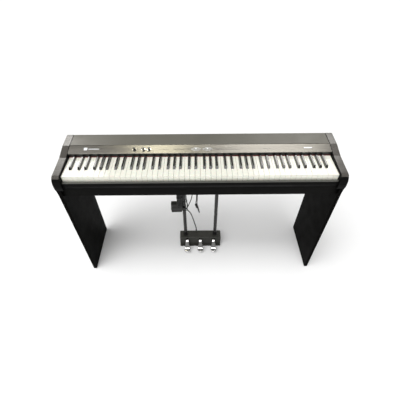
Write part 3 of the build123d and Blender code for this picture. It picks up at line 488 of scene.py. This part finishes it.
def ash_board(name, specular, pore_stretch, figure_stretch, dark, light, pore_colour):
    """Black laminated board with the drawn-out pores of ash wood."""
    material = principled(name, Specular_IOR_Level=specular)
    pores = noise(material, 1.0, detail=7.0, roughness=0.7, stretch=pore_stretch)
    figure = noise(material, 1.0, detail=4.0, stretch=figure_stretch)
    colour = blend_colours(material, figure, dark, light)
    colour = blend_colours(material, remap(material, pores, 0.52, 0.72), colour, pore_colour)
    connect(material, edge_wear_and_highlight(material, colour, (0.03, 0.028, 0.025), reach=0.0014), "Base Color")
    vary_roughness(material, 0.36, 0.5)
    raise_surface(material, remap(material, pores, 0.35, 0.75, 1.0, 0.0), 0.00006)
    return material


def laminate_black():
    """The board of the legs, its grain upright."""
    return ash_board(
        "laminate_black", specular=0.01, pore_stretch=(900.0, 500.0, 22.0), figure_stretch=(40.0, 26.0, 3.0),
        dark=(0.0012, 0.0012, 0.001), light=(0.003, 0.0029, 0.0026), pore_colour=(0.006, 0.0058, 0.0053),
    )


def beam_black():
    """The board of the beams, its grain along the piano."""
    return ash_board(
        "beam_black", specular=0.03, pore_stretch=(22.0, 500.0, 900.0), figure_stretch=(3.0, 26.0, 40.0),
        dark=(0.0026, 0.0026, 0.0024), light=(0.005, 0.005, 0.0046), pore_colour=(0.012, 0.0118, 0.011),
    )


def steel():
    return polished("steel", colour=(0.55, 0.55, 0.54), roughness=0.32, smudge=0.12)


def glide_rubber():
    return moulded("glide_rubber", dark=(0.01, 0.01, 0.01), light=(0.02, 0.02, 0.019), roughness=0.8,
                   specular=0.25, grain=900.0)


def rod_black():
    """Powder coat on tube."""
    return moulded("rod_black", dark=(0.005, 0.005, 0.005), light=(0.009, 0.009, 0.0085), roughness=0.3,
                   specular=0.42, grain=2000.0, depth=0.00002)


def collar_black():
    return moulded("collar_black", dark=(0.006, 0.006, 0.006), light=(0.01, 0.01, 0.01), roughness=0.4,
                   specular=0.3)


def housing_grey():
    """Textured powder coat, chipped along the edges."""
    material = principled("housing_grey", Specular_IOR_Level=0.3)
    speckle = noise(material, 420.0, detail=4.0, roughness=0.7)
    speckled = remap(material, speckle, 0.35, 0.65)
    colour = blend_colours(material, speckled, (0.008, 0.008, 0.007), (0.038, 0.039, 0.032))
    connect(material, edge_wear_and_highlight(material, colour, (0.2, 0.2, 0.18), reach=0.002, amount=0.8), "Base Color")
    vary_roughness(material, 0.42, 0.6, scale=60.0)
    raise_surface(material, noise(material, 650.0, detail=5.0), 0.00022)
    return material


def pedal_chrome():
    return polished("pedal_chrome", colour=(0.74, 0.74, 0.73), roughness=0.06, smudge=0.1)


def cable_black():
    """Soft vinyl jacket."""
    return moulded("cable_black", dark=(0.005, 0.005, 0.005), light=(0.009, 0.009, 0.0085), roughness=0.45,
                   specular=0.35, grain=2600.0, depth=0.00001)


def adapter_black():
    return moulded("adapter_black", dark=(0.007, 0.007, 0.0065), light=(0.013, 0.013, 0.012),
                   roughness=0.5, specular=0.3, grain=900.0, depth=0.00007)


def tie_black():
    return moulded("tie_black", dark=(0.006, 0.006, 0.006), light=(0.012, 0.012, 0.011), roughness=0.35,
                   specular=0.4)


FINISHES = [
    case_black, cover_grey, panel_silver, slip_grey, felt_red, chassis_grey, board_green, speaker_black,
    key_white, key_black, control_black, trim_chrome, plate_white, button_grey, laminate_black, steel,
    glide_rubber, rod_black, collar_black, housing_grey, pedal_chrome, cable_black, adapter_black,
    tie_black,
]
MATERIALS = {finish.__name__: finish() for finish in FINISHES}
BEAM_FINISH, CHEEK_FINISH = beam_black(), cheek_grey()
OWN_FINISHES = {
    "front_beam": BEAM_FINISH, "rear_beam": BEAM_FINISH,
    "left_cheek": CHEEK_FINISH, "right_cheek": CHEEK_FINISH,
}


def paint(obj, material):
    """Give a whole piece one material."""
    obj.data.materials.clear()
    obj.data.materials.append(material)


def paint_nodes():
    """Every CAD node takes its own finish, or else the one that the record gives it."""
    for subpart in frame["record"]["subparts"]:
        name = subpart["node"]
        paint(frame["nodes"][name], OWN_FINISHES.get(name, MATERIALS[subpart["material_slot"]]))


# ---------------------------------------------------------------- pieces

def add_piece(name, data, slot, body):
    """An object of a mesh or curve, painted with a slot's finish, riding on a body."""
    piece = bpy.data.objects.new(name, data)
    bpy.context.scene.collection.objects.link(piece)
    paint(piece, MATERIALS[slot])
    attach(piece, body)
    return piece


def hank_points():
    """Strands folded up and down round the hank's axis, each inside the last, drawn in at the tie."""
    points = []
    for strand in range(HANK_STRANDS):
        angle = math.radians(180.0 + strand * HANK_STRAND_TURN)
        bottom = HANK_BOTTOM_Z + HANK_NEST * (strand // 2)
        top = HANK_TOP_Z - HANK_NEST * ((strand - 1) // 2)
        start, finish = (top, bottom) if strand % 2 == 0 else (bottom, top)
        if strand == 0:
            start = HANK_TOP_Z - HANK_FIRST_DROP
        if strand == HANK_STRANDS - 1:
            finish = HANK_BOTTOM_Z + HANK_LAST_RISE
        for share in HANK_SHARES:
            waist = math.sin(math.pi * share)
            radius = HANK_END_RADIUS + (HANK_WAIST_RADIUS - HANK_END_RADIUS) * waist
            radius += HANK_WOBBLE * math.sin(2.4 * strand + 7.0 * share)
            x = HANK_CENTRE[0] + radius * math.cos(angle)
            y = HANK_CENTRE[1] + radius * math.sin(angle)
            points.append((x, y, start + share * (finish - start)))
    return points


def cord_curve(name, points, diameter):
    """A round cord along one smooth spline, its points in millimetres."""
    data = bpy.data.curves.new(name, "CURVE")
    data.dimensions = "3D"
    data.bevel_depth = diameter / 2
    data.bevel_resolution = 5
    data.resolution_u = 10
    data.use_fill_caps = True
    spline = data.splines.new("NURBS")
    spline.points.add(len(points) - 1)
    for control, point in zip(spline.points, points):
        control.co = (*(MM * part for part in point), 1.0)
    spline.order_u = 3
    spline.use_endpoint_u = True
    return add_piece(name, data, "cable_black", STAND)


def curve_length(curve):
    """Length of a curve's centreline, in metres."""
    bare = curve.data.copy()
    bare.bevel_depth = 0.0
    probe = bpy.data.objects.new("probe", bare)
    mesh = bpy.data.meshes.new_from_object(probe)
    places = [vertex.co for vertex in mesh.vertices]
    length = sum((after - before).length for before, after in zip(places, places[1:]))
    bpy.data.objects.remove(probe)
    bpy.data.meshes.remove(mesh)
    bpy.data.curves.remove(bare)
    return length


def lathe(name, profile, centre, slot, body, segments=32):
    """A turned piece about a vertical line: profile is (radius, height) from its lower end."""
    shape = bmesh.new()
    rings = []
    for radius, height in profile:
        ring = []
        for step in range(segments):
            angle = 2.0 * math.pi * step / segments
            place = (radius * math.cos(angle), radius * math.sin(angle), height)
            ring.append(shape.verts.new(place))
        rings.append(ring)
    for lower, upper in zip(rings, rings[1:]):
        for step in range(segments):
            after = (step + 1) % segments
            shape.faces.new((lower[step], lower[after], upper[after], upper[step]))
    shape.faces.new(list(reversed(rings[0])))
    shape.faces.new(rings[-1])
    data = bpy.data.meshes.new(name)
    shape.to_mesh(data)
    shape.free()
    for face in data.polygons:
        face.use_smooth = len(face.vertices) == 4
    piece = add_piece(name, data, slot, body)
    piece.location = centre
    return piece


def strain_relief(name, start, length, wide, narrow, up):
    """A ribbed, tapering sleeve on a cable where it leaves its housing or plug."""
    ribs, groove_share = 5, 0.86
    collar_bottom, collar_top = -0.0012, 0.0018
    ribs_start, plain_end = 0.002, 0.001
    pitch = (length - ribs_start - plain_end) / ribs
    profile = [(narrow * 0.96, collar_bottom), (wide, collar_bottom), (wide, collar_top)]
    for rib in range(ribs):
        radius = wide + (narrow - wide) * (rib + 0.5) / ribs
        groove = radius * groove_share
        base = ribs_start + pitch * rib
        profile += [(groove, base + 0.1 * pitch), (groove, base + 0.35 * pitch)]
        profile += [(radius, base + 0.45 * pitch), (radius, base + 0.9 * pitch)]
    profile += [(narrow, length - 0.0006), (narrow * 0.94, length)]
    if not up:
        profile = [(radius, -height) for radius, height in reversed(profile)]
    return lathe(name, profile, start, "cable_black", STAND, segments=24)


def on_panel(x, y):
    """A frame on the control panel's face: its Z square to the panel, its Y up the slope."""
    height = PANEL_POINT_Z + PANEL_SLOPE * (y - PANEL_POINT_Y)
    return Matrix.Translation((x, y, height)) @ Matrix.Rotation(math.atan(PANEL_SLOPE), 4, "X")


def raised(name, outer, inner, z_range, place, slot, body):
    """A flat print or inlay in a frame: the area inside outer, less the area inside inner if given."""
    shape = bmesh.new()
    levels = []
    for z in z_range:
        levels.append([[shape.verts.new((x, y, z)) for x, y in loop] for loop in (outer, inner) if loop])
    count = len(outer)
    for loop in range(len(levels[0])):
        low, high = levels[0][loop], levels[1][loop]
        for step in range(count):
            after = (step + 1) % count
            wall = (low[step], low[after], high[after], high[step])
            shape.faces.new(wall if loop == 0 else tuple(reversed(wall)))
    for level, turn in zip(levels, (True, False)):
        if inner:
            for step in range(count):
                after = (step + 1) % count
                band = (level[0][step], level[0][after], level[1][after], level[1][step])
                shape.faces.new(tuple(reversed(band)) if turn else band)
        else:
            shape.faces.new(tuple(reversed(level[0])) if turn else tuple(level[0]))
    data = bpy.data.meshes.new(name)
    shape.to_mesh(data)
    shape.free()
    piece = add_piece(name, data, slot, body)
    piece.matrix_world = place
    return piece


def circle(radius, segments=40):
    """Points round a circle."""
    turns = [2.0 * math.pi * step / segments for step in range(segments)]
    return [(radius * math.cos(turn), radius * math.sin(turn)) for turn in turns]


def eye(length, width, segments=20):
    """Points round a pointed oval."""
    top = [(length * (0.5 - step / segments), step / segments) for step in range(segments)]
    upper = [(x, 2.0 * width * share * (1.0 - share)) for x, share in top]
    return upper + [(-x, -y) for x, y in upper]


def box(x_range, y_range):
    """The corners of a rectangle."""
    (left, right), (low, high) = x_range, y_range
    return [(left, low), (right, low), (right, high), (left, high)]


def print_lines():
    """Plain printed lines on the panel, each with three ticks."""
    for index, (left, right, y) in enumerate(PRINTED_LINES):
        place = on_panel(left, y)
        line = box((0.0, right - left), (-LINE_HALF_WIDTH, LINE_HALF_WIDTH))
        raised("printed_line_" + str(index), line, None, INK_Z, place, "control_black", STAND)
        for tick in range(1, 4):
            x = (right - left) * tick / 4
            mark = box((x - TICK_HALF_WIDTH, x + TICK_HALF_WIDTH), TICK_REACH)
            raised(f"printed_tick_{index}_{tick}", mark, None, INK_Z, place, "control_black", STAND)


def dress_knob(name, x):
    """A knob's skirt on the panel, and the pointer and grip ribs that turn with the knob."""
    place = on_panel(x, CONTROL_ROW_Y)
    skirt = circle(SKIRT_OUTER_RADIUS), circle(SKIRT_INNER_RADIUS)
    raised(name + "_skirt", *skirt, (0.0, SKIRT_HEIGHT), place, "trim_chrome", STAND)
    pointer = box((-POINTER_HALF_WIDTH, POINTER_HALF_WIDTH), POINTER_REACH)
    raised(name + "_pointer", pointer, None, POINTER_Z, place, "plate_white", name)
    for rib in range(KNOB_RIBS):
        turn = Matrix.Rotation(2.0 * math.pi * rib / KNOB_RIBS, 4, "Z")
        outward = (KNOB_RADIUS - RIB_HALF_SIZE, KNOB_RADIUS + RIB_HALF_SIZE)
        grip = box(outward, (-RIB_HALF_SIZE, RIB_HALF_SIZE))
        raised(f"{name}_rib_{rib}", grip, None, RIB_Z, place @ turn, "control_black", name)


def pad_outline(extra):
    """A pad's pointed oval, grown by an extra length and width."""
    return eye(PAD_LENGTH + extra[0], PAD_WIDTH + extra[1])


def dress_pad(name, x):
    """A pad's rim on the panel, and the inlay and bright middle that tilt with the pad."""
    place = on_panel(x, CONTROL_ROW_Y)
    rim = pad_outline(RIM_OUTER_EXTRA), pad_outline(RIM_INNER_EXTRA)
    raised(name + "_rim", *rim, (0.0, RIM_HEIGHT), place, "plate_white", STAND)
    raised(name + "_inset", pad_outline(INSET_EXTRA), None, INSET_Z, place, "button_grey", name)
    cap_z = (PAD_BOSS_TOP, PAD_BOSS_TOP + CAP_HEIGHT)
    raised(name + "_cap", circle(CAP_RADIUS), None, cap_z, place, "plate_white", name)


def dress_panel():
    """Everything too fine for the CAD model on the control panel."""
    print_lines()
    for name, x in KNOB_PLACES.items():
        dress_knob(name, x)
    for name, x in PAD_PLACES.items():
        dress_pad(name, x)


def make_bead():
    """The moulded filter bead on the lead, at the middle of one of its runs."""
    half, bore = BEAD_LENGTH / 2, LEAD_DIAMETER / 2 - 0.0001
    end, shoulder = BEAD_RADIUS - BEAD_CHAMFER, half - BEAD_CHAMFER
    profile = [(bore, -half), (end, -half), (BEAD_RADIUS, -shoulder), (BEAD_RADIUS, shoulder),
               (end, half), (bore, half)]
    above, below = (Vector(point) * MM for point in BEAD_RUN)
    bead = lathe("lead_bead", profile, (above + below) / 2, "adapter_black", STAND)
    bead.rotation_euler = (above - below).to_track_quat("Z", "Y").to_euler()
    return bead


def make_tie():
    """The strap round the hank's middle, its outer edges eased."""
    inner, outer, half = TIE_INNER_RADIUS, TIE_OUTER_RADIUS, TIE_HALF_HEIGHT
    lip, shoulder = outer - 0.0003, half - 0.0005
    profile = [(inner, -half), (lip, -half), (outer, -shoulder), (outer, shoulder), (lip, half),
               (inner, half)]
    return lathe("hank_tie", profile, Vector((*HANK_CENTRE, HANK_TIE_Z)) * MM, "tie_black", STAND)


def make_cables():
    """The pedal cable and the adapter's lead, with their sleeves and the hank's tie."""
    pedal_cable = cord_curve("pedal_cable_run", PEDAL_CABLE_ROUTE, PEDAL_CABLE_DIAMETER)
    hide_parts("pedal_cable")
    lead = cord_curve("power_lead_run", LEAD_LOWER_ROUTE + hank_points() + LEAD_UPPER_ROUTE, LEAD_DIAMETER)
    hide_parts("power_lead", "power_lead_hank")
    pedal_start, pedal_end = (Vector(PEDAL_CABLE_ROUTE[end]) * MM for end in (0, -1))
    lead_start, lead_end = Vector(LEAD_LOWER_ROUTE[0]) * MM, Vector(LEAD_UPPER_ROUTE[-1]) * MM
    pedal_sleeves = [
        strain_relief("pedal_cable_relief", pedal_start, 0.014, *PEDAL_SLEEVE_RADII, up=True),
        strain_relief("pedal_plug_relief", pedal_end, 0.013, *PEDAL_SLEEVE_RADII, up=False),
    ]
    lead_sleeves = [
        strain_relief("power_lead_relief", lead_start, 0.016, *LEAD_SLEEVE_RADII, up=True),
        strain_relief("power_plug_relief", lead_end, 0.013, *LEAD_SLEEVE_RADII, up=False),
    ]
    tie = make_tie()
    bead = make_bead()
    round(curve_length(pedal_cable), 3)
    round(curve_length(lead), 3)


make_camera()
make_world()
make_sun()
make_panes()
make_floor()
make_cables()
dress_panel()
paint_nodes()
